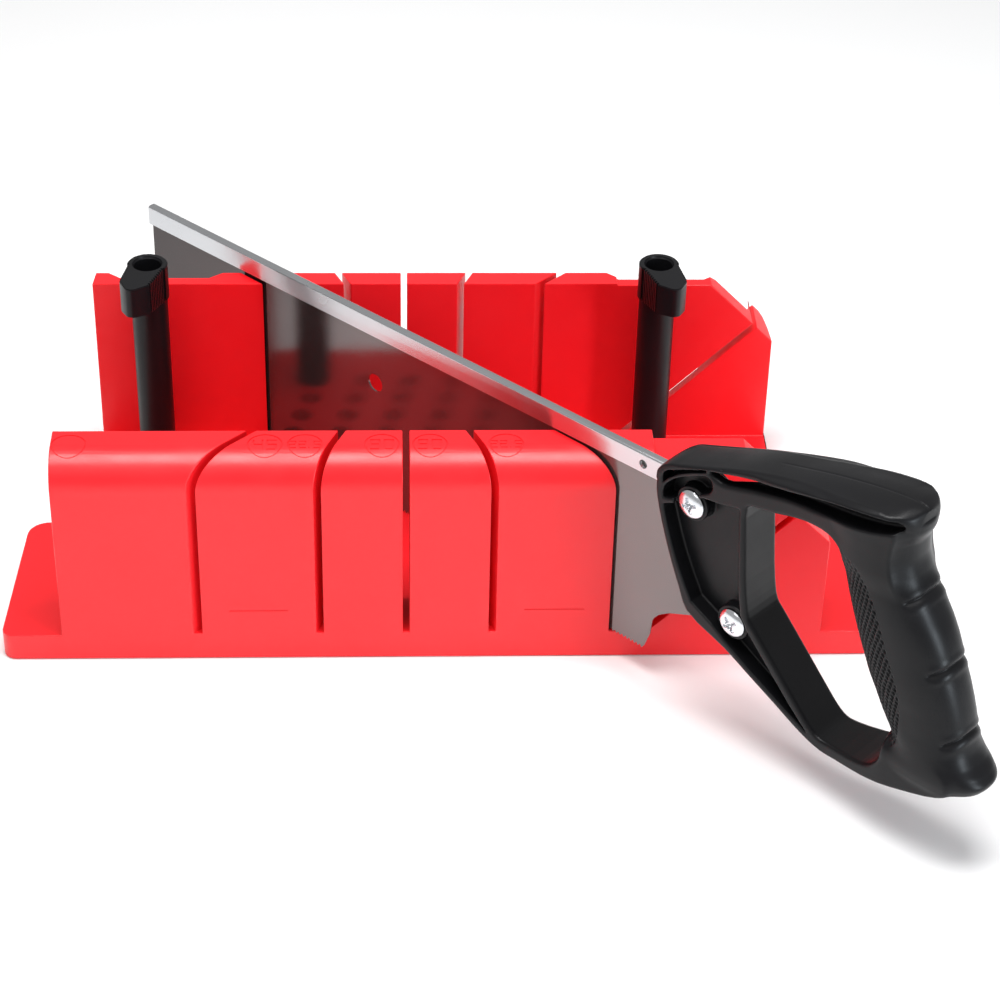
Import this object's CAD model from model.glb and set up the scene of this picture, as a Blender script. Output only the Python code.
import math
import bpy
import bmesh
import numpy as np
from mathutils import Matrix, Vector
from mathutils.bvhtree import BVHTree


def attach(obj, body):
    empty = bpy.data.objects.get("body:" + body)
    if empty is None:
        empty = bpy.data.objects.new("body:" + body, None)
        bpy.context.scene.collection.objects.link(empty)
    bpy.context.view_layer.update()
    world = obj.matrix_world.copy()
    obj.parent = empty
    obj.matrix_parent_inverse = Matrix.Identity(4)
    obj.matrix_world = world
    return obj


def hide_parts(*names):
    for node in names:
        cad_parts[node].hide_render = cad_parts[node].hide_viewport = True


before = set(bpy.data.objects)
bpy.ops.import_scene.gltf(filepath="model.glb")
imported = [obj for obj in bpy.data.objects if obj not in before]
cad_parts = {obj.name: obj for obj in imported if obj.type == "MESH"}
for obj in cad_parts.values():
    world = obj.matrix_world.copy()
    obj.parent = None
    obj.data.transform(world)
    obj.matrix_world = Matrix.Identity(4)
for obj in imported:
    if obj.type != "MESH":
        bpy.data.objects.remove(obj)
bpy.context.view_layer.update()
MM = 0.001

# ------------------------------------------------------------------ camera
def make_camera():
    cx, cy, cz = -7.4788 * MM, -1143.5035 * MM, 824.928 * MM
    pitch, yaw, roll = 0.6112, 0.0498, 0.0247
    fwd = Vector((math.sin(yaw) * math.cos(pitch), math.cos(yaw) * math.cos(pitch), -math.sin(pitch)))
    right = Vector((math.cos(yaw), -math.sin(yaw), 0))
    up = right.cross(fwd)
    r = right * math.cos(roll) + up * math.sin(roll)
    u = -right * math.sin(roll) + up * math.cos(roll)
    cam = bpy.data.cameras.new("camera")
    cam.sensor_width = 36
    cam.lens = 96.65
    cam.clip_start, cam.clip_end = 0.05, 50
    o = bpy.data.objects.new("camera", cam)
    m = Matrix((r, u, -fwd)).transposed().to_4x4()
    m.translation = (cx, cy, cz)
    o.matrix_world = m
    bpy.context.scene.collection.objects.link(o)
    bpy.context.scene.camera = o


make_camera()

# ------------------------------------------------------------------ light and floor
def area_light(name, loc, target, size, power, size_y=None, color=(1, 1, 1)):
    d = bpy.data.lights.new(name, "AREA")
    d.shape = "RECTANGLE"
    d.size = size
    d.size_y = size_y or size
    d.energy = power
    d.color = color
    o = bpy.data.objects.new(name, d)
    o.location = loc
    o.rotation_euler = (Vector(target) - Vector(loc)).to_track_quat("-Z", "Y").to_euler()
    bpy.context.scene.collection.objects.link(o)
    return o


def make_stage():
    bpy.context.scene.view_settings.view_transform = "Standard"
    world = bpy.data.worlds.new("studio")
    bpy.context.scene.world = world
    world.use_nodes = True
    bg = world.node_tree.nodes["Background"]
    bg.inputs[0].default_value = (1, 1, 1, 1)
    bg.inputs[1].default_value = 0.42
    area_light("overhead", (0.0, -0.2, 1.32), (0, 0.0, 0.05), 0.95, 20, 0.6)
    area_light("front_left", (-0.8, -1.2, 1.3), (0, 0.03, 0.07), 0.9, 2.7, 0.8)
    area_light("right_strip", (1.2, -1.2, 0.42), (0.22, -0.22, 0.1), 0.22, 10.5, 0.6, (0.82, 0.92, 1.0))
    bm = bmesh.new()
    n = 24
    vs = [[bm.verts.new((-4 + 8 * i / n, -4 + 8 * j / n, -0.0004)) for j in range(n + 1)] for i in range(n + 1)]
    for i in range(n):
        for j in range(n):
            bm.faces.new((vs[i][j], vs[i + 1][j], vs[i + 1][j + 1], vs[i][j + 1]))
    me = bpy.data.meshes.new("floor")
    bm.to_mesh(me)
    bm.free()
    o = bpy.data.objects.new("floor", me)
    bpy.context.scene.collection.objects.link(o)
    m = bpy.data.materials.new("floor_paper")
    m.use_nodes = True
    p = m.node_tree.nodes["Principled BSDF"]
    p.inputs["Base Color"].default_value = (0.93, 0.93, 0.93, 1)
    p.inputs["Roughness"].default_value = 0.9
    me.materials.append(m)


make_stage()

# ------------------------------------------------------------------ materials
class Mat:
    """A short way to write a node material."""

    def __init__(self, name):
        self.m = bpy.data.materials.new(name)
        self.m.use_nodes = True
        self.nt = self.m.node_tree
        self.bsdf = self.nt.nodes["Principled BSDF"]
        self.coord = self.nt.nodes.new("ShaderNodeTexCoord")

    def node(self, kind, **values):
        n = self.nt.nodes.new(kind)
        for k, v in values.items():
            if hasattr(n, k):
                setattr(n, k, v)
            else:
                n.inputs[k.replace("_", " ")].default_value = v
        return n

    def link(self, a, b):
        self.nt.links.new(a, b)

    def set(self, **values):
        for k, v in values.items():
            self.bsdf.inputs[k.replace("_", " ")].default_value = v

    def noise(self, scale, detail=3.0, rough=0.5, stretch=None, dist=0.0):
        n = self.node("ShaderNodeTexNoise", Scale=scale, Detail=detail, Roughness=rough, Distortion=dist)
        if stretch is not None:
            mp = self.node("ShaderNodeMapping")
            mp.inputs["Rotation"].default_value = stretch[0]
            mp.inputs["Scale"].default_value = stretch[1]
            self.link(self.coord.outputs["Object"], mp.inputs["Vector"])
            self.link(mp.outputs[0], n.inputs["Vector"])
        else:
            self.link(self.coord.outputs["Object"], n.inputs["Vector"])
        return n.outputs["Fac"]

    def ramp(self, fac, stops):
        r = self.node("ShaderNodeValToRGB")
        e = r.color_ramp.elements
        while len(e) < len(stops):
            e.new(0.5)
        for i, (pos, col) in enumerate(stops):
            e[i].position = pos
            e[i].color = col if hasattr(col, "__len__") else (col, col, col, 1)
        self.link(fac, r.inputs["Fac"])
        return r.outputs["Color"]

    def mix(self, a, b, fac, kind="MIX"):
        n = self.node("ShaderNodeMix", data_type="RGBA", blend_type=kind)
        if hasattr(fac, "is_linked"):
            self.link(fac, n.inputs[0])
        else:
            n.inputs[0].default_value = fac
        for i, v in ((6, a), (7, b)):
            if hasattr(v, "is_linked"):
                self.link(v, n.inputs[i])
            else:
                n.inputs[i].default_value = v
        return n.outputs[2]

    def bump(self, height, strength, distance, normal=None):
        b = self.node("ShaderNodeBump", Strength=strength, Distance=distance)
        self.link(height, b.inputs["Height"])
        if normal is not None:
            self.link(normal, b.inputs["Normal"])
        return b.outputs["Normal"]


def red_plastic():
    m = Mat("red_moulded_plastic")
    big = m.noise(9, 3, 0.55)
    fine = m.noise(60, 4, 0.6)
    col = m.ramp(big, [(0.3, (0.84, 0.008, 0.014, 1)), (0.7, (0.89, 0.011, 0.018, 1))])
    m.link(col, m.bsdf.inputs["Base Color"])
    r = m.ramp(fine, [(0.25, 0.30), (0.75, 0.42)])
    m.link(r, m.bsdf.inputs["Roughness"])
    n = m.bump(m.noise(900, 2, 0.5), 0.06, 0.0004)
    n = m.bump(m.noise(28, 2, 0.5), 0.10, 0.0015, n)
    m.link(n, m.bsdf.inputs["Normal"])
    m.set(Specular_IOR_Level=0.5, Coat_Weight=0.0)
    m.set(Subsurface_Weight=0.06, Subsurface_Radius=(0.004, 0.0008, 0.0006), Subsurface_Scale=0.6)
    return m.m


def black_plastic(name="black_satin_plastic", base=0.0045, r0=0.32, r1=0.42):
    m = Mat(name)
    big = m.noise(25, 3, 0.5)
    col = m.ramp(big, [(0.3, (base, base * 0.98, base * 1.15, 1)), (0.7, (base * 1.4, base * 1.38, base * 1.65, 1))])
    m.link(col, m.bsdf.inputs["Base Color"])
    r = m.ramp(m.noise(70, 4, 0.6), [(0.25, r0), (0.75, r1)])
    m.link(r, m.bsdf.inputs["Roughness"])
    n = m.bump(m.noise(1500, 2, 0.5), 0.12, 0.0003)
    n = m.bump(m.noise(45, 2, 0.5), 0.06, 0.001, n)
    m.link(n, m.bsdf.inputs["Normal"])
    m.set(Specular_IOR_Level=0.22)
    return m.m


def steel(name, base, r0, r1, along=True, bump=0.05):
    m = Mat(name)
    turn = (0, 0, math.radians(45))
    lines = m.noise(6, 4, 0.6, (turn, (3, 600, 260))) if along else m.noise(300, 3, 0.6)
    cloud = m.noise(14, 3, 0.55)
    c0 = tuple(b * 0.88 for b in base) + (1,)
    c1 = tuple(base) + (1,)
    m.link(m.mix(m.ramp(lines, [(0.3, c0), (0.7, c1)]), c1, 0.4), m.bsdf.inputs["Base Color"])
    m.link(m.ramp(cloud, [(0.3, r0), (0.7, r1)]), m.bsdf.inputs["Roughness"])
    m.link(m.bump(lines, bump, 0.0002), m.bsdf.inputs["Normal"])
    m.set(Metallic=1.0)
    return m.m


def blade_steel():
    """Rolled strip: fine lines along it, darker towards the toe, with faint clouds and a few light scratches."""
    m = Mat("blade_steel")
    turn = (0, 0, math.radians(45))
    lines = m.noise(6, 4, 0.6, (turn, (3, 600, 260)))
    cloud = m.noise(14, 3, 0.55)
    sep = m.node("ShaderNodeSeparateXYZ")
    m.link(m.coord.outputs["Object"], sep.inputs[0])
    span = m.node("ShaderNodeMapRange")
    span.inputs["From Min"].default_value = -0.135
    span.inputs["From Max"].default_value = 0.125
    m.link(sep.outputs["X"], span.inputs["Value"])
    along = m.ramp(span.outputs[0], [(0.0, (0.085, 0.074, 0.074, 1)), (0.22, (0.115, 0.098, 0.097, 1)), (0.45, (0.20, 0.172, 0.170, 1)), (1.0, (0.205, 0.192, 0.188, 1))])
    fine = m.ramp(lines, [(0.3, 0.86), (0.7, 1.0)])
    col = m.mix(along, fine, 1.0, "MULTIPLY")
    col = m.mix(col, m.ramp(cloud, [(0.3, 0.92), (0.7, 1.0)]), 1.0, "MULTIPLY")
    m.link(col, m.bsdf.inputs["Base Color"])
    m.link(m.ramp(cloud, [(0.3, 0.09), (0.7, 0.15)]), m.bsdf.inputs["Roughness"])
    m.link(m.bump(lines, 0.05, 0.0002), m.bsdf.inputs["Normal"])
    m.set(Metallic=0.82)
    return m.m


RED = red_plastic()
BLACK = black_plastic()
BLADE = blade_steel()
SPINE = steel("spine_zinc_steel", (0.62, 0.63, 0.65), 0.2, 0.32)
ZINC = steel("bright_zinc", (0.78, 0.80, 0.83), 0.12, 0.22, along=False, bump=0.03)

# ------------------------------------------------------------------ mesh helpers
def link(me, name, material, body=None, replaces=(), smooth=True):
    o = bpy.data.objects.new(name, me)
    bpy.context.scene.collection.objects.link(o)
    me.materials.clear()
    me.materials.append(material)
    if smooth:
        me.shade_smooth()
    if body:
        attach(o, body)
    if replaces:
        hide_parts(*replaces)
    return o


def mesh_from(verts, faces, name="m"):
    me = bpy.data.meshes.new(name)
    me.from_pydata([tuple(v) for v in verts], [], [tuple(int(i) for i in f) for f in faces])
    me.update()
    return me


def smooth_by_angle(me, deg=35):
    me.shade_smooth()
    if hasattr(me, "set_sharp_from_angle"):
        me.set_sharp_from_angle(angle=math.radians(deg))


class Solid:
    """A closed mesh in millimetres that can be joined to, and cut by, others."""

    def __init__(self, verts, faces):
        self.me = mesh_from(verts, faces, "solid")

    def _op(self, others, kind):
        col = []
        a = bpy.data.objects.new("a", self.me)
        bpy.context.scene.collection.objects.link(a)
        for s in others:
            b = bpy.data.objects.new("b", s.me)
            bpy.context.scene.collection.objects.link(b)
            b.hide_render = True
            col.append(b)
            mod = a.modifiers.new("b", "BOOLEAN")
            mod.operation = kind
            mod.solver = "MANIFOLD"
            mod.object = b
        dg = bpy.context.evaluated_depsgraph_get()
        me = bpy.data.meshes.new_from_object(a.evaluated_get(dg))
        for o in [a, *col]:
            bpy.data.objects.remove(o)
        r = Solid.__new__(Solid)
        r.me = me
        return r

    def add(self, *o):
        return self._op(o, "UNION")

    def cut(self, *o):
        return self._op(o, "DIFFERENCE")

    def both(self, *o):
        return self._op(o, "INTERSECT")

    def clean(self, angle=0.3):
        bm = bmesh.new()
        bm.from_mesh(self.me)
        bmesh.ops.remove_doubles(bm, verts=bm.verts, dist=1e-4)
        bmesh.ops.dissolve_degenerate(bm, edges=bm.edges, dist=1e-3)
        bmesh.ops.dissolve_limit(bm, angle_limit=math.radians(angle), verts=bm.verts, edges=bm.edges)
        bm.to_mesh(self.me)
        bm.free()
        return self

    def bevel(self, width, segments=2, angle=30, clamp=False):
        bm = bmesh.new()
        bm.from_mesh(self.me)
        bm.normal_update()
        tree = BVHTree.FromBMesh(bm)
        edges = [e for e in bm.edges if len(e.link_faces) == 2 and e.calc_face_angle(0) > math.radians(angle)]
        bmesh.ops.bevel(bm, geom=edges, offset=width, offset_type="OFFSET", segments=segments, profile=0.5, affect="EDGES", clamp_overlap=clamp)
        bmesh.ops.remove_doubles(bm, verts=bm.verts, dist=1e-4)
        for v in bm.verts:
            near, normal, _, dist = tree.find_nearest(v.co)
            if dist > 1e-4 and ((v.co - near).dot(normal) > 0.02 or dist > width * 1.1):
                v.co = near
        bm.to_mesh(self.me)
        bm.free()
        return self

    def metres(self, matrix=None):
        self.me.transform((matrix or Matrix.Identity(4)) @ Matrix.Identity(4))
        self.me.transform(Matrix.Scale(MM, 4))
        self.me.update()
        return self.me


def prism(points, a0, a1, axis="z"):
    """An outline swept along an axis: outline in (x,y) for z, (y,z) for x, (x,z) for y."""
    area = sum(points[i][0] * points[(i + 1) % len(points)][1] - points[(i + 1) % len(points)][0] * points[i][1] for i in range(len(points)))
    pts = list(points) if area > 0 else list(reversed(points))
    n = len(pts)
    place = {"z": lambda p, a: (p[0], p[1], a), "x": lambda p, a: (a, p[0], p[1]), "y": lambda p, a: (p[0], a, p[1])}[axis]
    vs = [place(p, a0) for p in pts] + [place(p, a1) for p in pts]
    fs = [list(range(n - 1, -1, -1)), list(range(n, 2 * n))] + [[i, (i + 1) % n, n + (i + 1) % n, n + i] for i in range(n)]
    if axis == "y":
        fs = [list(reversed(f)) for f in fs]
    return Solid(vs, fs)


def block(x0, x1, y0, y1, z0, z1):
    return prism([(x0, y0), (x1, y0), (x1, y1), (x0, y1)], z0, z1)


def circle(cx, cy, r, n=32):
    return [(cx + r * math.cos(2 * math.pi * i / n), cy + r * math.sin(2 * math.pi * i / n)) for i in range(n)]


def arc(cx, cy, r, a0, a1, n):
    return [(cx + r * math.cos(math.radians(a0 + (a1 - a0) * i / n)), cy + r * math.sin(math.radians(a0 + (a1 - a0) * i / n))) for i in range(n + 1)]


def revolve(profile, n=48):
    """A closed profile of (radius, height) points turned round the Z axis; points with radius 0 lie on it."""
    vs, rows = [], []
    for r, z in profile:
        if r < 1e-9:
            rows.append([len(vs)] * n)
            vs.append((0, 0, z))
        else:
            rows.append(list(range(len(vs), len(vs) + n)))
            vs += [(r * math.cos(2 * math.pi * i / n), r * math.sin(2 * math.pi * i / n), z) for i in range(n)]
    fs = []
    m = len(profile)
    for k in range(m):
        a, b = rows[k], rows[(k + 1) % m]
        if profile[k][0] < 1e-9 and profile[(k + 1) % m][0] < 1e-9:
            continue
        for i in range(n):
            j = (i + 1) % n
            f = [a[i], a[j], b[j], b[i]]
            g = []
            for v in f:
                if v not in g:
                    g.append(v)
            fs.append(g)
    return Solid(vs, fs)


def moved(solid, m):
    solid.me.transform(m)
    if m.determinant() < 0:
        solid.me.flip_normals()
    return solid


# ------------------------------------------------------------------ the box
BED_TOP, WING_TOP, SKIN = 15.2, 14.2, 3.2
FRONT = dict(x0=-168, x1=204.4, y0=-102, y1=-73.5, top=115.4, rnd=17, step_x=118, step=110.4)
MITERS = [0, 22.5, -22.5, 45, -45]


def miter_slab(deg, t, z0, z1, y0, y1):
    a = math.radians(deg)
    d, nrm = Vector((-math.sin(a), math.cos(a))), Vector((math.cos(a), math.sin(a)))
    # where the plane's middle line meets y0 and y1, a little beyond each
    t0, t1 = y0 / d.y, y1 / d.y
    p, q = d * t0, d * t1
    k = nrm * (t / 2)
    e = d * 0.0
    pts = [p - k - e, p + k - e, q + k + e, q - k + e]
    return prism([(v.x, v.y) for v in pts], z0, z1)


def bevel_slab(t, z0, y0, y1, base=101.2):
    h = t / math.sqrt(2)
    return prism([(base + z0 - h, z0), (base + z0 + h, z0), (base + 130 + h, 130), (base + 130 - h, 130)], y0, y1, "y")


def peg_holes():
    out = []
    for side in (-1, 1):
        for col in range(5):
            x = side * (128.2 - col * 17.34)
            for row in range(-5, 3):
                y = 46.8 + row * 25.25 + col * 4.26
                if -64 < y < 61:
                    out.append((x, y))
    return out


def front_profile(i, n=12):
    f = FRONT
    z = -1 if i else 0.5
    return [(f["y0"] + i, z), (f["y1"] - i, z), (f["y1"] - i, f["top"] - i)] + arc(f["y0"] + f["rnd"], f["top"] - f["rnd"], f["rnd"] - i, 90, 180, n)


def wing_plan(i):
    x0, x1, y0, y1 = -197.5, 232.5, -102, -5
    def sh(pts, dx, dy):
        return [(x + dx * i, y + dy * i) for x, y in pts]
    return (sh(arc(x0 + 6.5, y0 + 6.5, 6.5 - i / 2, 180, 270, 8), 0.5, 0.5) + sh(arc(x1 - 6.5, y0 + 6.5, 6.5 - i / 2, 270, 360, 8), -0.5, 0.5)
            + sh(arc(x1 - 14.5, y1 - 12, 11 - i / 2, 0, 80, 8), -0.5, -0.5) + sh(arc(x0 + 14.5, y1 - 12, 11 - i / 2, 100, 180, 8), 0.5, -0.5))


def corner_wedge(total, y0, y1):
    return prism([(total - 130, 130), (total - 20, 20), (260, 20), (260, 130)], y0, y1, "y")


STROKES = {"0": [(0, 0, 0, 4), (0, 4, 2.4, 4), (2.4, 4, 2.4, 0), (2.4, 0, 0, 0)], "2": [(0, 4, 2.4, 4), (2.4, 4, 2.4, 2), (2.4, 2, 0, 2), (0, 2, 0, 0), (0, 0, 2.4, 0)],
           "4": [(0, 4, 0, 2), (0, 2, 2.4, 2), (2.4, 4, 2.4, 0)], "5": [(2.4, 4, 0, 4), (0, 4, 0, 2), (0, 2, 2.4, 2), (2.4, 2, 2.4, 0), (2.4, 0, 0, 0)],
           "9": [(2.4, 2, 0, 2), (0, 2, 0, 4), (0, 4, 2.4, 4), (2.4, 4, 2.4, 0), (2.4, 0, 0, 0)], ".": [(0, 0, 0.01, 0)]}


def number(text, x, y):
    """Raised strokes of a number, centred on a point in plan."""
    widths = [0.6 if c == "." else 2.4 for c in text]
    scale = 1.75 if len(text) <= 2 else 1.25
    total = sum(widths) + 1.3 * (len(text) - 1)
    at = -total / 2
    out = []
    for c, wd in zip(text, widths):
        for x0, y0, x1, y1 in STROKES[c]:
            a, b = (min(x0, x1), min(y0, y1)), (max(x0, x1), max(y0, y1))
            t = 0.2
            out.append(block(x + (at + a[0]) * scale - t * scale, x + (at + b[0]) * scale + t * scale, y + (a[1] - 2 - t) * scale, y + (b[1] - 2 + t) * scale, 50, 135))
        at += wd + 1.3
    return out


def panel_lines():
    """Shallow lines low on the front wall, left and right of the middle."""
    y = FRONT["y0"]
    out = []
    for x0, x1 in ((-86, -57.5), (57.5, 87)):
        out.append(block(x0, x1, y - 1, y + 0.3, 28.7, 29.4))
    return out


def make_box():
    f = FRONT
    body = prism(wing_plan(0), 0, WING_TOP)
    body = body.add(block(-162.2, 196.6, -101, 95, 0, BED_TOP))
    front = prism(front_profile(0), f["x0"], f["x1"], "x")
    step = prism([(f["step_x"] + 3.5, 130), (f["step_x"] - 1.5, 117)] + [(f["step_x"] - 1.2, f["top"] - 0.3), (f["step_x"] + 0.6, f["top"] - 3.6), (f["step_x"] + 3.2, f["step"])] + [(260, f["step"]), (260, 130)], -120, -60, "y")
    front = front.cut(block(f["step_x"], 260, -120, -60, f["step"], 130), corner_wedge(272.6, -120, -60))
    rx0, rx1 = -162.2, 196.2
    rear = prism([(rx0, 71.2), (rx1, 71.2), (rx1 - 1, 83), (rx1 - 2.8, 92), (rx1 - 5, 95), (185, 95), (184, 83), (165, 83), (158, 77.7), (113, 77.7), (107, 83),
                  (-95, 83), (-102, 77.7), (-148, 77.7), (-154.5, 83), (rx0 + 1, 83)], 0.5, 111)
    rear = rear.cut(block(112, 260, 60, 120, 110, 130), corner_wedge(271.6, 60, 120))
    body = body.add(front, rear)
    # hollow underside
    holes = peg_holes()
    under = prism(wing_plan(SKIN), -1, WING_TOP - SKIN).add(block(-162.2 + SKIN, 196.6 - SKIN, -90, 95 - SKIN, -1, WING_TOP - SKIN))
    ribs = [block(-200, 240, y - 1.1, y + 1.1, -2, 14) for y in (-73.5, -38, -3, 33, 71.2)]
    ribs += [block(x - 1.1, x + 1.1, -110, 100, -2, 14) for x in (-162.2, -119.5, -85, -40, 0, 40, 85, 119.5, 160)]
    tubes = [prism(circle(x, y, 8.05, 24), -2, 14) for x, y in holes]
    under = under.cut(*ribs, prism(circle(0, 0, 12, 32), -2, 14), *tubes)
    slabs = [miter_slab(a, 8.6, -2, 130, -130, 130) for a in MITERS]
    fh = prism(front_profile(SKIN), f["x0"] + SKIN, f["x1"] - SKIN, "x")
    fh = fh.cut(*slabs, bevel_slab(8.6, -5, -120, -60), block(f["step_x"] - 3, 260, -120, -60, f["step"] - SKIN, 130), corner_wedge(268.1, -120, -60))
    rh = block(-92.5, 104.5, 73.8, 80.4, -1, 111 - SKIN).cut(*slabs, bevel_slab(8.6, -5, 60, 100))
    # the cuts that show
    drill = [prism(circle(x, y, 5.75, 28), -2, 20) for x, y in holes]
    cuts = []
    for y0, y1 in ((-110, -70), (65, 110)):
        cuts += [miter_slab(a, 3.2, BED_TOP, 130, y0, y1) for a in MITERS] + [bevel_slab(3.2, BED_TOP, y0, y1)]
    body = body.cut(under, fh, rh).cut(*drill).cut(*cuts)
    body.clean(0.2)
    body.bevel(0.55, 2, 32)
    plain = len(body.me.vertices)
    discs = []
    for x, text in ((-159.3, ""), (-66.8, "45"), (-47.9, "22.5"), (-11.4, "90"), (11.4, "90"), (47.6, "22.5"), (66.8, "45")):
        if text == "45" and x > 0:
            continue
        discs.append(prism(circle(x, -85.5, 8.4, 48), 60, 130).cut(prism(circle(x, -85.5, 7.75, 48), 50, 140)))
        if text:
            strokes = number(text, x, -85.5)
            discs.append(strokes[0].add(*strokes[1:]))
    cap = prism([(f["y0"] + 0.4, 60), (f["y1"] + 2, 60), (f["y1"] + 2, f["top"] - 0.4)] + arc(f["y0"] + f["rnd"], f["top"] - f["rnd"], f["rnd"] - 0.4, 90, 180, 24), -200, 200, "x")
    marked = body.cut(*[d.cut(cap) for d in discs], *panel_lines())
    if len(marked.me.vertices) > plain:
        body = marked
    else:
        print("MARKS LEFT OUT")
    for v in body.me.vertices:
        over = (v.co.x + v.co.z - 271.6) / 2
        if v.co.y > 60 and over > 0:
            v.co.x -= over
            v.co.z -= over
    me = body.metres()
    o = link(me, "box_moulding", RED, "box", ["miter_box"])
    smooth_by_angle(o.data, 40)
    even = o.modifiers.new("even_shading", "WEIGHTED_NORMAL")
    even.keep_sharp = True
    even.weight = 80


make_box()

# ------------------------------------------------------------------ the saw's own plane
SAW = Matrix(((math.sqrt(0.5), 0, -math.sqrt(0.5), 0), (-math.sqrt(0.5), 0, -math.sqrt(0.5), 0), (0, 1, 0, 0), (0, 0, 0, 1)))


def spine_top(s):
    return 122.9 + (s + 190.5) * 0.0153


def flat_xy(points, w0, w1):
    """An outline in the saw's plane (along, up), from w0 to w1 across it."""
    return prism(points, w0, w1)


BOLTS = {"upper": (193.8, 121.0), "lower": (222.3, 67.9)}


def make_blade():
    pitch, depth = 2.3, 1.5
    edge = []
    s = -190.5
    while s + pitch <= 166.0:
        edge += [(s, 15.5 + depth), (s + pitch * 0.5, 15.5), (s + pitch * 0.98, 15.5 + depth)]
        s += pitch
    outline = [(-190.5, 18)] + edge + [(166.8, 26), (167.6, 33.5), (169.2, 37.2), (172.2, 40.6), (178, 44.6), (184.3, 47.4), (191.5, 50.6),
               (198.5, 57.2), (205, 63.4), (214, 60.6), (223.5, 57.8), (227.6, 62), (227.4, 73.5), (224.6, 86), (222.4, 113), (220.4, 129),
               (182, spine_top(182) - 2), (-190.5, spine_top(-190.5) - 2.2)]
    b = flat_xy(outline, -0.45, 0.45)
    b = b.cut(flat_xy(circle(-20.7, 86, 5, 48), -5, 5), flat_xy(circle(158.2, 122.4, 2.3, 24), -5, 5),
              *[flat_xy(circle(x, y, 4.1, 32), -5, 5) for x, y in BOLTS.values()])
    b.clean(0.2)
    link(b.metres(SAW), "toothed_blade", BLADE, "saw", ["saw_blade"], smooth=False)


def make_spine():
    # a strip folded over the blade's back: section across the saw, then along it
    rings = []
    t, inner, r = 2.4, 0.8, 1.2
    for s in (-191.1, 181.0):
        top = spine_top(s)
        bot = top - 10.8
        sec = [(-t, bot + 0.2), (-t, top - r)] + [(-t + r - r * math.cos(a), top - r + r * math.sin(a)) for a in np.linspace(0.2, math.pi / 2, 5)]
        sec += [(t - r + r * math.sin(a), top - r + r * math.cos(a)) for a in np.linspace(0, math.pi / 2 - 0.2, 5)] + [(t, top - r), (t, bot + 0.2), (t - 0.2, bot)]
        sec += [(inner, bot), (inner, top - 2.2), (inner - 0.4, top - 1.7), (-inner + 0.4, top - 1.7), (-inner, top - 2.2), (-inner, bot), (-t + 0.2, bot)]
        rings.append([(s, z, w) for w, z in sec])
    n = len(rings[0])
    vs = rings[0] + rings[1]
    fs = [list(range(n)), list(range(2 * n - 1, n - 1, -1))] + [[i, n + i, n + (i + 1) % n, (i + 1) % n] for i in range(n)]
    s = Solid(vs, fs)
    bm = bmesh.new()
    bm.from_mesh(s.me)
    bmesh.ops.recalc_face_normals(bm, faces=bm.faces)
    bm.to_mesh(s.me)
    bm.free()
    s = s.cut(flat_xy(circle(158.2, 122.4, 2.3, 32), -5, 5))
    o = link(s.metres(SAW), "folded_spine", SPINE, "saw", ["blade_spine"], smooth=False)
    o.data.set_sharp_from_angle(angle=math.radians(32)) if hasattr(o.data, "set_sharp_from_angle") else None


make_blade()
make_spine()

# ------------------------------------------------------------------ bolts and sleeve nuts
def make_bolts():
    for name, (x, y) in BOLTS.items():
        prof = [(0, -3), (2.2, -3), (2.2, 9.8), (7.1, 9.8), (7.3, 10.0), (7.3, 10.5), (7.0, 10.9), (6.2, 11.4), (5.0, 11.9), (3.4, 12.35), (1.7, 12.55), (0, 12.6)]
        s = revolve(prof, 48)
        cross = []
        turn = 0.35 if name == "upper" else 0.62
        for k in range(2):
            m = Matrix.Rotation(turn + k * math.pi / 2, 4, "Z")
            arm = prism([(-4.5, 13.4), (-3.9, 11.3), (-1.4, 10.2), (1.4, 10.2), (3.9, 11.3), (4.5, 13.4)], -0.8, 0.8, "y")
            cross.append(moved(arm, m))
        cross.append(moved(revolve([(0, 10.2), (1.5, 10.6), (2.1, 12.0), (2.3, 13.4), (0, 13.4)], 24), Matrix.Rotation(turn, 4, "Z")))
        s = s.cut(*cross)
        s.clean(0.2)
        s.bevel(0.12, 1, 40)
        moved(s, Matrix.Translation((x, y, 0)))
        o = link(s.metres(SAW), name + "_bolt_head", ZINC, "saw", [name + "_handle_bolt"])
        smooth_by_angle(o.data)
        prof = [(0, -12.4), (2.4, -12.25), (4.2, -12), (6.2, -11.2), (7.2, -10.4), (7.3, -10.1), (7.2, -9.8), (3.5, -9.8), (3.5, 6), (2.5, 6), (2.5, -6), (0, -6)]
        s = revolve(prof, 48)
        s = s.cut(moved(block(-8, 8, -0.7, 0.7, -13.6, -11.6), Matrix.Rotation(0.5, 4, "Z")))
        s.clean(0.2)
        moved(s, Matrix.Translation((x, y, 0)))
        o = link(s.metres(SAW), name + "_sleeve_nut", ZINC, "saw", [name + "_handle_nut"])
        smooth_by_angle(o.data)


make_bolts()

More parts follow.
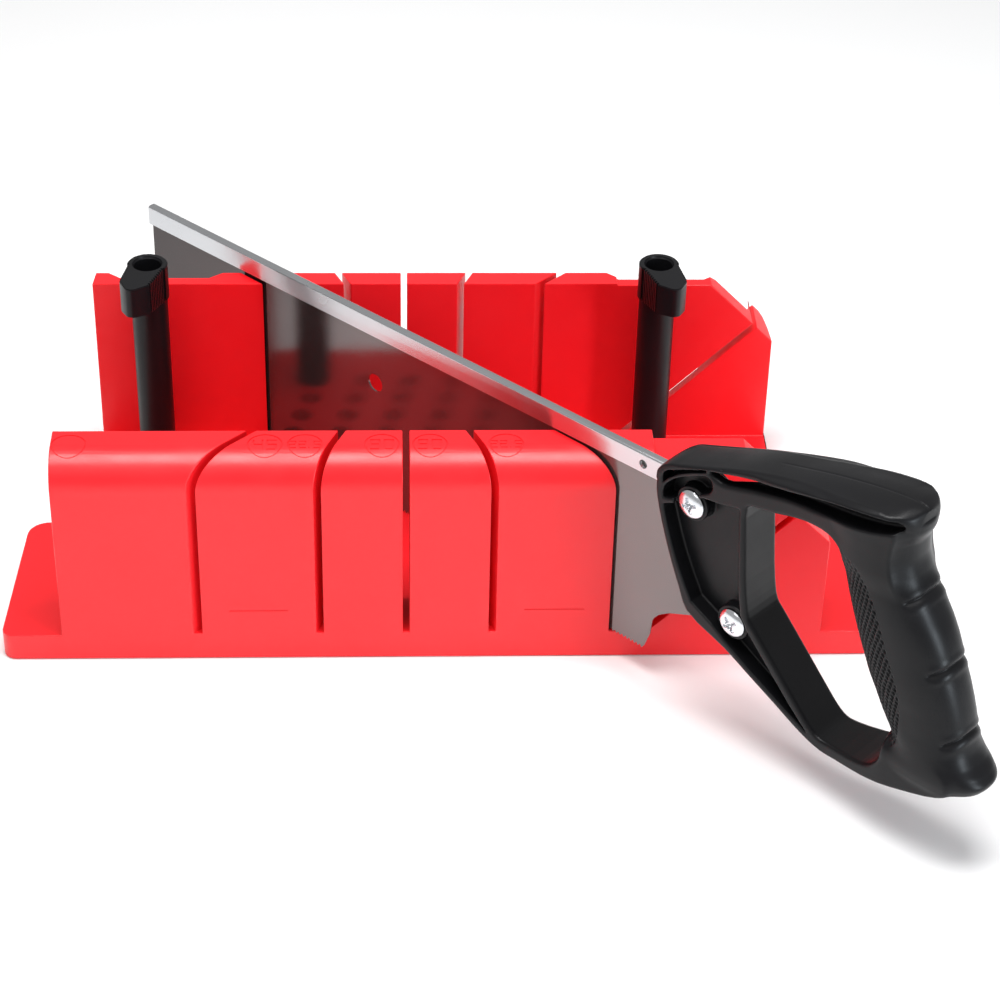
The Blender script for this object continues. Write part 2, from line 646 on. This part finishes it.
# ------------------------------------------------------------------ cam pegs
def peg_head(grow=0.0):
    """Plan of the lever head round the shaft axis, nose to the front: round back, notched flanks, a plain V nose."""
    r = 10.3 + grow
    pts = [(r * math.cos(math.radians(a)), r * math.sin(math.radians(a))) for a in np.linspace(-12, 192, 40)]
    flank = []
    n, y0, y1 = 9, -1.6, -19.2
    step = (y1 - y0) / n
    for i in range(n):
        ya, yb = y0 + step * i, y0 + step * (i + 1)
        wa = 9.5 + (8.1 - 9.5) * (i / n)
        flank += [(wa + grow, ya), (wa + grow - 0.05, ya + step * 0.5), (wa + grow - 0.95, ya + step * 0.62), (wa + grow - 0.95, ya + step * 0.92)]
    nose = [(7.9 + grow, -19.6), (7.3 + grow, -20.9), (2.6 + grow * 0.6, -26.3 - grow * 0.5), (1.4 + grow * 0.4, -27.0 - grow), (0, -27.25 - grow),
            (-1.4 - grow * 0.4, -27.0 - grow), (-2.6 - grow * 0.6, -26.3 - grow * 0.5), (-7.3 - grow, -20.9), (-7.9 - grow, -19.6)]
    left = [(-x, y) for x, y in reversed(flank)]
    ring = left + list(reversed(pts))
    ring = ring + flank + nose
    return ring


def make_peg(side, name):
    tilt = Matrix.Rotation(math.radians(15.3), 4, "Z")
    shaft = revolve([(0, 15.6), (8.9, 15.6), (9.3, 16.0), (9.3, 133), (0, 133)], 64)
    head = moved(prism(peg_head(), 116.8, 135.8), tilt)
    head = head.cut(prism([(-40, 115.8), (-9.8, 115.8), (-9.8, 117.4), (-40, 121.4)], -30, 30, "x"))
    # round the head's top edge with a stack of slightly smaller plans
    cap = moved(prism(peg_head(-0.45), 134, 136.2), tilt)
    head = head.cut(block(-60, 60, -60, 60, 135.35, 140)).add(cap.cut(block(-60, 60, -60, 60, 135.8, 140)))
    body = shaft.add(head)
    body = body.cut(revolve([(0, 24), (6.6, 24), (7.1, 24.6), (7.1, 134.6), (7.6, 135.2), (8.0, 137), (0, 137)], 56))
    # a key rib down one side of the bore and a step across its floor
    key = block(-1.1, 1.1, 5.2, 7.6, 20, 127)
    step = prism(circle(0, 0, 7.3, 40), 23, 112).both(block(-8, 8, -8, -2.2, 20, 112))
    body = body.add(key, step)
    pin = moved(revolve([(0, 1.6), (4.9, 1.6), (5.5, 2.3), (5.5, 19), (0, 19)], 48), Matrix.Translation((-2.5, -2.6, 0)))
    body = body.add(pin)
    body.clean(0.1)
    m = Matrix.Translation((side * 130.7, 49.4, 0))
    if side < 0:
        m = m @ Matrix.Scale(-1, 4, (1, 0, 0))
    moved(body, m)
    o = link(body.metres(), name + "_detailed", BLACK, name, [name.replace("_peg", "_cam_peg")])
    smooth_by_angle(o.data, 32)
    return o


make_peg(-1, "left_peg")
make_peg(1, "right_peg")

# ------------------------------------------------------------------ handle: a distance field meshed on a fine grid
def smoothstep(a, b, x):
    t = np.clip((x - a) / (b - a), 0, 1)
    return t * t * (3 - 2 * t)


def table(pairs):
    """A smooth monotone curve through a table of (x, y) points."""
    x = np.array([p[0] for p in pairs], float)
    y = np.array([p[1] for p in pairs], float)
    d = np.diff(y) / np.diff(x)
    m = np.zeros_like(y)
    m[0], m[-1] = d[0], d[-1]
    for i in range(1, len(x) - 1):
        m[i] = 0 if d[i - 1] * d[i] <= 0 else 2 * d[i - 1] * d[i] / (d[i - 1] + d[i])

    def f(v):
        v = np.clip(v, x[0], x[-1])
        i = np.clip(np.searchsorted(x, v) - 1, 0, len(x) - 2)
        h = x[i + 1] - x[i]
        t = (v - x[i]) / h
        return ((2 * t**3 - 3 * t**2 + 1) * y[i] + (t**3 - 2 * t**2 + t) * h * m[i] + (-2 * t**3 + 3 * t**2) * y[i + 1] + (t**3 - t**2) * h * m[i + 1])

    return f


def closed_curve(points, n=4):
    """A closed Catmull-Rom curve through the points, n steps for each."""
    p = np.array(points, float)
    out = []
    k = len(p)
    for i in range(k):
        p0, p1, p2, p3 = p[i - 1], p[i], p[(i + 1) % k], p[(i + 2) % k]
        t0 = 0
        t1 = t0 + max(np.linalg.norm(p1 - p0), 1e-6) ** 0.5
        t2 = t1 + max(np.linalg.norm(p2 - p1), 1e-6) ** 0.5
        t3 = t2 + max(np.linalg.norm(p3 - p2), 1e-6) ** 0.5
        for j in range(n):
            t = t1 + (t2 - t1) * j / n
            a1 = (t1 - t) / (t1 - t0) * p0 + (t - t0) / (t1 - t0) * p1
            a2 = (t2 - t) / (t2 - t1) * p1 + (t - t1) / (t2 - t1) * p2
            a3 = (t3 - t) / (t3 - t2) * p2 + (t - t2) / (t3 - t2) * p3
            b1 = (t2 - t) / (t2 - t0) * a1 + (t - t0) / (t2 - t0) * a2
            b2 = (t3 - t) / (t3 - t1) * a2 + (t - t1) / (t3 - t1) * a3
            out.append((t2 - t) / (t2 - t1) * b1 + (t - t1) / (t2 - t1) * b2)
    return np.array(out)


def sd_poly(points, x, y):
    """Signed distance to a closed outline, negative inside."""
    v = np.array(points, float)
    x, y = np.broadcast_arrays(np.asarray(x, float), np.asarray(y, float))
    d = np.full(x.shape, 1e18)
    inside = np.zeros(x.shape, bool)
    n = len(v)
    for i in range(n):
        a, b = v[i], v[(i + 1) % n]
        e = b - a
        wx, wy = x - a[0], y - a[1]
        t = np.clip((wx * e[0] + wy * e[1]) / max(e @ e, 1e-12), 0, 1)
        d = np.minimum(d, (wx - e[0] * t) ** 2 + (wy - e[1] * t) ** 2)
        crosses = (a[1] > y) != (b[1] > y)
        if abs(e[1]) > 1e-12:
            inside ^= crosses & (x < a[0] + (y - a[1]) * e[0] / e[1])
    d = np.sqrt(d)
    return np.where(inside, -d, d).astype(np.float32)


def smin(a, b, k):
    h = np.maximum(k - np.abs(a - b), 0) / k
    return np.minimum(a, b) - h * h * k * 0.25


def smax(a, b, k):
    h = np.maximum(k - np.abs(a - b), 0) / k
    return np.maximum(a, b) + h * h * k * 0.25


def rounded(d1, d2, r):
    """The overlap of two half spaces or slabs, with its edge rounded to radius r."""
    p, q = d1 + r, d2 + r
    return np.minimum(np.maximum(p, q), 0) + np.sqrt(np.maximum(p, 0) ** 2 + np.maximum(q, 0) ** 2) - r


def surface_net(f, lo, h):
    """Quads on the zero level of a field sampled on a grid, wound outwards."""
    n0, n1, n2 = f.shape
    inside = f < 0
    ids, pts, quads = [], [], []
    count = 0
    for ax in range(3):
        sl0 = [slice(None)] * 3
        sl1 = [slice(None)] * 3
        sl0[ax], sl1[ax] = slice(0, -1), slice(1, None)
        idx = np.argwhere(inside[tuple(sl0)] != inside[tuple(sl1)])
        u, v = (ax + 1) % 3, (ax + 2) % 3
        keep = (idx[:, u] > 0) & (idx[:, v] > 0) & (idx[:, u] < f.shape[u] - 1) & (idx[:, v] < f.shape[v] - 1)
        idx = idx[keep]
        nxt = idx.copy()
        nxt[:, ax] += 1
        fa = f[idx[:, 0], idx[:, 1], idx[:, 2]].astype(float)
        fb = f[nxt[:, 0], nxt[:, 1], nxt[:, 2]].astype(float)
        p = idx.astype(float)
        p[:, ax] += fa / (fa - fb)
        four = []
        for du, dv in ((-1, -1), (0, -1), (0, 0), (-1, 0)):
            q = idx.copy()
            q[:, u] += du
            q[:, v] += dv
            c = (q[:, 0] * n1 + q[:, 1]) * n2 + q[:, 2]
            four.append(c)
            ids.append(c)
            pts.append(p)
        quad = np.stack(four, 1)
        back = fa > 0
        quad[back] = quad[back][:, ::-1]
        quads.append(quad)
    ids, pts, quads = np.concatenate(ids), np.concatenate(pts), np.concatenate(quads)
    uniq, inv = np.unique(ids, return_inverse=True)
    cnt = np.bincount(inv)
    vert = np.stack([np.bincount(inv, pts[:, k]) / cnt for k in range(3)], 1)
    return vert * h + np.array(lo), np.searchsorted(uniq, quads)


def fast_mesh(verts, quads, name):
    me = bpy.data.meshes.new(name)
    me.vertices.add(len(verts))
    me.vertices.foreach_set("co", np.ascontiguousarray(verts, np.float32).ravel())
    me.loops.add(quads.size)
    me.loops.foreach_set("vertex_index", np.ascontiguousarray(quads, np.int32).ravel())
    me.polygons.add(len(quads))
    me.polygons.foreach_set("loop_start", np.arange(0, quads.size, 4, dtype=np.int32))
    me.polygons.foreach_set("loop_total", np.full(len(quads), 4, np.int32))
    me.update(calc_edges=True)
    return me


FRAME_OUT = [(196.5, 62.4), (190.8, 73.5), (186, 84), (182.2, 93.5), (179, 102.3), (175.4, 114.1), (173.9, 122), (174.2, 128.4), (176.4, 133), (180.6, 136.8),
             (186.4, 139.6), (196, 143.4), (206, 147.6), (217, 152), (227, 155.6), (240, 159.6), (252, 162.6), (265, 165.6), (277, 168), (290, 170.2), (302, 171),
             (307, 165), (306, 150), (308, 140), (316, 124), (324, 104), (332, 84), (337, 70), (342, 58), (349, 50), (350, 44),
             (345, 39.6), (326, 33), (313, 29.6), (300, 27.2), (289, 25.8), (279, 25.2), (268, 28.6), (251.7, 36.8), (236, 44.6), (220.4, 52.5)]
HAND_OPEN = [(225.8, 134.6), (226.8, 113), (229.5, 87), (232.2, 76), (236.4, 71.4), (249.6, 57.8), (262.6, 44.4), (271.8, 35.2), (277, 32), (284, 31.8), (303, 34.6), (309, 37.6),
             (312.6, 43), (313, 51), (311.6, 58.7), (306, 67.5), (300, 76.4), (294.6, 89), (290, 102.6), (286.8, 114), (284.2, 126), (282, 136), (279, 142.4),
             (272.4, 145.8), (261, 145.2), (252, 143), (242, 140), (233, 138), (228, 137)]
POCKET = [(198.8, 69), (193.6, 78), (189, 86.8), (185.2, 95.4), (182, 104), (179.2, 112.4), (179, 115), (185.5, 118.4), (193.8, 121), (201.4, 129), (210, 130), (222.2, 133),
          (223.4, 113), (225.7, 86.5), (228.2, 74), (233.2, 68), (246.6, 54.4), (259.8, 41), (270.6, 31.3), (259.3, 36.5), (237.5, 47.4), (220, 57), (211.9, 62.6)]
RECESS = [(204.4, 144.0), (210.8, 141.8), (216.7, 142.9), (225.5, 145.6), (235, 148.2), (246, 150.8), (258, 153.0), (270, 155.0), (280, 156.8), (291, 159.2), (302, 162.2), (308.6, 165),
          (309.4, 167.2), (307, 169.2), (300, 169.2), (287, 167.6), (275, 165.2), (262, 162.2), (249.8, 158.8), (235.5, 155), (221, 150.7), (211, 147.2), (205, 145.4)]
RECESS_MID = table([(204, 144.2), (216, 145.6), (243, 153.6), (262, 156.8), (280, 160), (300, 165.4), (309, 167)])
ARCH_GAP = [(177.8, 126.6), (180, 129.4), (182.6, 131.6), (186.6, 135), (191.2, 137.8), (197, 141), (202.4, 143.7), (202.4, 144.6), (196, 141.9), (190, 139.2), (184, 136.2), (180, 134.1), (177.9, 131.6)]
ARCH_ROOM = [(178.5, 118.4), (178.8, 124.8), (181.6, 128.6), (184.4, 131.4), (188, 133.9), (192, 136.2), (198, 139.4), (202.4, 141.4), (205.4, 140), (206.2, 136.2), (204.6, 133), (201.6, 131), (196, 127), (193.8, 122.8), (188, 121.6), (184.6, 120.4)]
BAR_TOP = table([(173, 130), (174.4, 133.4), (176.4, 135.9), (180.6, 138.8), (186.4, 141), (206, 148.6), (227, 156.4), (243, 160.8), (262, 166), (275, 168.9), (287, 171.2), (299, 172.9), (306, 173.4), (311, 172.6), (314.5, 171)])
BAR_CROWN = table([(173, 1.1), (190, 1.2), (240, 1.5), (262, 2.1), (275, 2.8), (290, 2.7), (311, 2.4)])
BAR_HALF = table([(173, 12), (205, 12.6), (228, 13.8), (243, 16), (262, 17.6), (280, 17.8), (290, 17.8)])
GRIP = [(30, 322, 344, 9), (36, 322, 346.6, 10), (40, 318, 354.4, 13), (44, 313.5, 360.2, 16), (48, 312.6, 362.2, 17), (52, 314, 359.4, 17.2), (56, 313.4, 355, 17.3), (61, 310.4, 351.6, 17), (68, 305, 349.2, 16.6),
        (76, 300, 347.2, 16.5), (84, 295.4, 344.4, 16.9), (92, 291.8, 341.1, 17.1), (100, 288.2, 337.4, 17.1), (108, 284.8, 334.4, 17.1), (116, 281.9, 330.2, 17.1), (124, 279.3, 324.8, 17), (132, 277.3, 319.4, 16.8),
        (140, 277, 314.6, 16.4), (148, 274.6, 312.3, 16.2), (155, 270, 312, 16.6), (163, 266, 314.4, 17.2), (172, 266, 314.4, 17.2)]
TEXTURE_EDGE = table([(50, 317), (58, 320.5), (66.4, 321.4), (78.5, 320.2), (86.6, 318.3), (93.9, 315.3), (102.7, 311), (113.5, 306.4), (125.5, 300.5), (133.2, 295), (138.4, 290.9), (142.6, 282.4), (147, 270)])
RINGS = [(131.9, 0.0165), (101.6, 0.019), (69.7, 0.021)]


def handle_field(s, z, w):
    """Distance to the handle's surface in millimetres, negative inside. s runs along the saw, z up, w across it."""
    A = np.abs(w)
    s2, z2 = s[:, :, 0], z[:, :, 0]
    frame2 = sd_poly(closed_curve(FRAME_OUT, 3), s2, z2)[:, :, None]
    open2 = sd_poly(closed_curve(HAND_OPEN, 3), s2, z2)[:, :, None]
    pocket2 = sd_poly(POCKET, s2, z2)[:, :, None]
    recess2 = sd_poly(closed_curve(RECESS, 2), s2, z2)[:, :, None]
    gap2 = sd_poly(closed_curve(ARCH_GAP, 2), s2, z2)[:, :, None]
    room2 = sd_poly(closed_curve(ARCH_ROOM, 2), s2, z2)[:, :, None]
    rows = {k: table([(g[0], g[k]) for g in GRIP]) for k in (1, 2, 3)}
    fr, bk, hh = rows[1](z2), rows[2](z2), rows[3](z2)
    high = smoothstep(110, 130, z2)
    T = (12 + 4.6 * ((1 - high) * smoothstep(276, 318, s2) + high * smoothstep(244, 290, s2)))[:, :, None].astype(np.float32)
    d = rounded(frame2, A - T, 1.3)
    # between the two ends the grip stands alone
    alone = np.maximum(np.maximum(55 - z2, z2 - 133), fr - 7 - s2)[:, :, None].astype(np.float32)
    d = smax(d, -alone, 9)
    d = smax(d, -(open2 + 0.0 * A), 2.2)
    # top bar with its crown and near and far flange edges
    top = BAR_TOP(s2)[:, :, None].astype(np.float32)
    drop = BAR_CROWN(s2)[:, :, None].astype(np.float32)
    end = np.clip(1 - (np.clip(s2 - 289.6, 0, 23.8) / 23.8) ** 2.35, 0.0, 1) ** (1 / 2.35)
    end = np.where(s2 > 313.2, -0.5, end)
    half = (BAR_HALF(s2) * end)[:, :, None].astype(np.float32)
    crown = z - top + drop * np.minimum(A / np.maximum(half, 4), 1.4) ** 2.3
    crown = crown + 0.28 * np.exp(-((w / 0.5) ** 2)) * smoothstep(232, 240, s)
    crown = crown + 0.9 * np.exp(-(((w + 10.3) / 0.75) ** 2)) * smoothstep(175.5, 178, s) * (1 - smoothstep(205, 209, s))
    lower = (top - 5.6) - z
    bar = smax(smax(crown, lower, 1.0), A - half, 1.1)
    bar = smax(bar, 173.6 - s, 1.0)
    d = smin(d, bar, 1.0)
    # grip
    c, a = ((fr + bk) / 2)[:, :, None], ((bk - fr) / 2)[:, :, None]
    h = hh[:, :, None]
    e = 2.35
    u, v = np.abs(s - c) / a + 1e-4, A / h + 1e-4
    G = (u**e + v**e) ** (1 / e)
    grad = np.sqrt((u ** (e - 1) / a) ** 2 + (v ** (e - 1) / h) ** 2) * G ** (1 - e)
    grip = (G - 1) / np.maximum(grad, 0.035)
    # ring grooves round the back
    for z0, bend in RINGS:
        off = z - (z0 - bend * A * A)
        fade = smoothstep(14.4, 11.2, A) * smoothstep(0.35, 0.7, (s - c) / a)
        grip = grip + fade * (1.3 * np.exp(-((off / 1.0) ** 2)) - 0.34 * np.exp(-(((np.abs(off) - 2.9) / 1.5) ** 2)))
    # diamond texture on the front
    edge = TEXTURE_EDGE(z2)[:, :, None]
    zone = smoothstep(0.4, -0.4, s - edge) * smoothstep(147.0, 145.5, z) * smoothstep(50.5, 52, z)
    ang = np.arctan2(A / h, (c - s) / a)
    uu = ang * 20.5 / 2.3
    vv = (z * 1.09) / 4.7
    t1 = 1 - 2 * np.abs((uu + vv) % 1 - 0.5)
    t2 = 1 - 2 * np.abs((uu - vv) % 1 - 0.5)
    grip = grip + zone * (0.95 * smoothstep(0.2, 0.62, np.minimum(t1, t2)) - 0.1)
    grip = smax(grip, 37.9 - z - 0.30 * (s - 345) * (s > 345), 4)
    grip = smax(grip, z - (top - 4.2), 2.0)
    d = smin(d, grip, 4.5)
    # cuts
    d = smax(d, -rounded(pocket2, 3.5 - A, 1.0), 0.9)
    floor = (5.6 + 3.0 * smoothstep(240, 300, s2))[:, :, None].astype(np.float32)
    low_side = (1 - smoothstep(-1.2, 1.2, z2 - RECESS_MID(s2)))[:, :, None]
    k = 0.8 + 2.0 * low_side * (1 - 0.8 * smoothstep(262, 276, s))
    d = smax(d, -rounded(recess2, floor - A, 1.2), k)
    d = smax(d, -rounded(gap2, 5.0 - A, 0.5), 0.6)
    d = smax(d, -rounded(room2, 3.6 - A, 0.8), 0.8)
    # window through the web, seen slanting down from the near side
    o = -w
    ws, wz = s + 0.726 * (o + 10), z + 0.84 * (o + 10)
    win = sd_poly([(207.6, 144.8), (213.4, 144.2), (216.5, 144.8), (226.1, 149.2), (234, 152.6), (232.4, 154.8), (222.6, 152.2), (209.0, 147.2)], ws, wz)
    d = smax(d, -rounded(win, np.abs(o) - 12.2, 0.3), 0.5)
    # bosses
    for x, y in BOLTS.values():
        r = np.sqrt((s - x) ** 2 + (z - y) ** 2)
        d = smax(d, -np.maximum(r - 9.3, 9.4 - A), 0.7)
        boss = rounded(r - 8.9, A - 9.6, 0.6)
        d = smin(d, boss, 0.8)
        d = np.maximum(d, 3.9 - r)
    # slot for the blade and the spine
    tang = [(160, 40), (192, 50), (198.8, 56.4), (205.1, 62.9), (214, 60.2), (223.5, 57.4), (228, 62), (227.8, 73.5), (225, 86), (222.8, 113), (220.8, 129.4), (182, 128.3), (160, 128)]
    tang2 = sd_poly(tang, s2, z2)[:, :, None]
    d = np.maximum(d, -np.maximum(tang2, A - 0.8))
    st = 122.9 + (s + 190.5) * 0.0153
    slot = np.maximum(np.maximum(z - st - 0.3, st - 11.1 - z), np.maximum(s - 181.4, A - 2.75))
    d = np.maximum(d, -slot)
    return d.astype(np.float32)


def make_handle():
    h = 0.42
    lo = (171.5, 23.5, -19.5)
    hi = (372.0, 176.0, 19.5)
    ax = [np.arange(lo[k], hi[k] + h, h) for k in range(3)]
    parts = []
    step = 90
    f = np.empty([len(a) for a in ax], np.float32)
    for i in range(0, len(ax[0]), step):
        f[i:i + step] = handle_field(ax[0][i:i + step][:, None, None], ax[1][None, :, None], ax[2][None, None, :])
    verts, quads = surface_net(f, lo, h)
    me = fast_mesh(verts, quads, "handle")
    me.transform(SAW)
    me.transform(Matrix.Scale(MM, 4))
    me.update()
    link(me, "moulded_handle", BLACK, "saw", ["saw_handle"])


make_handle()
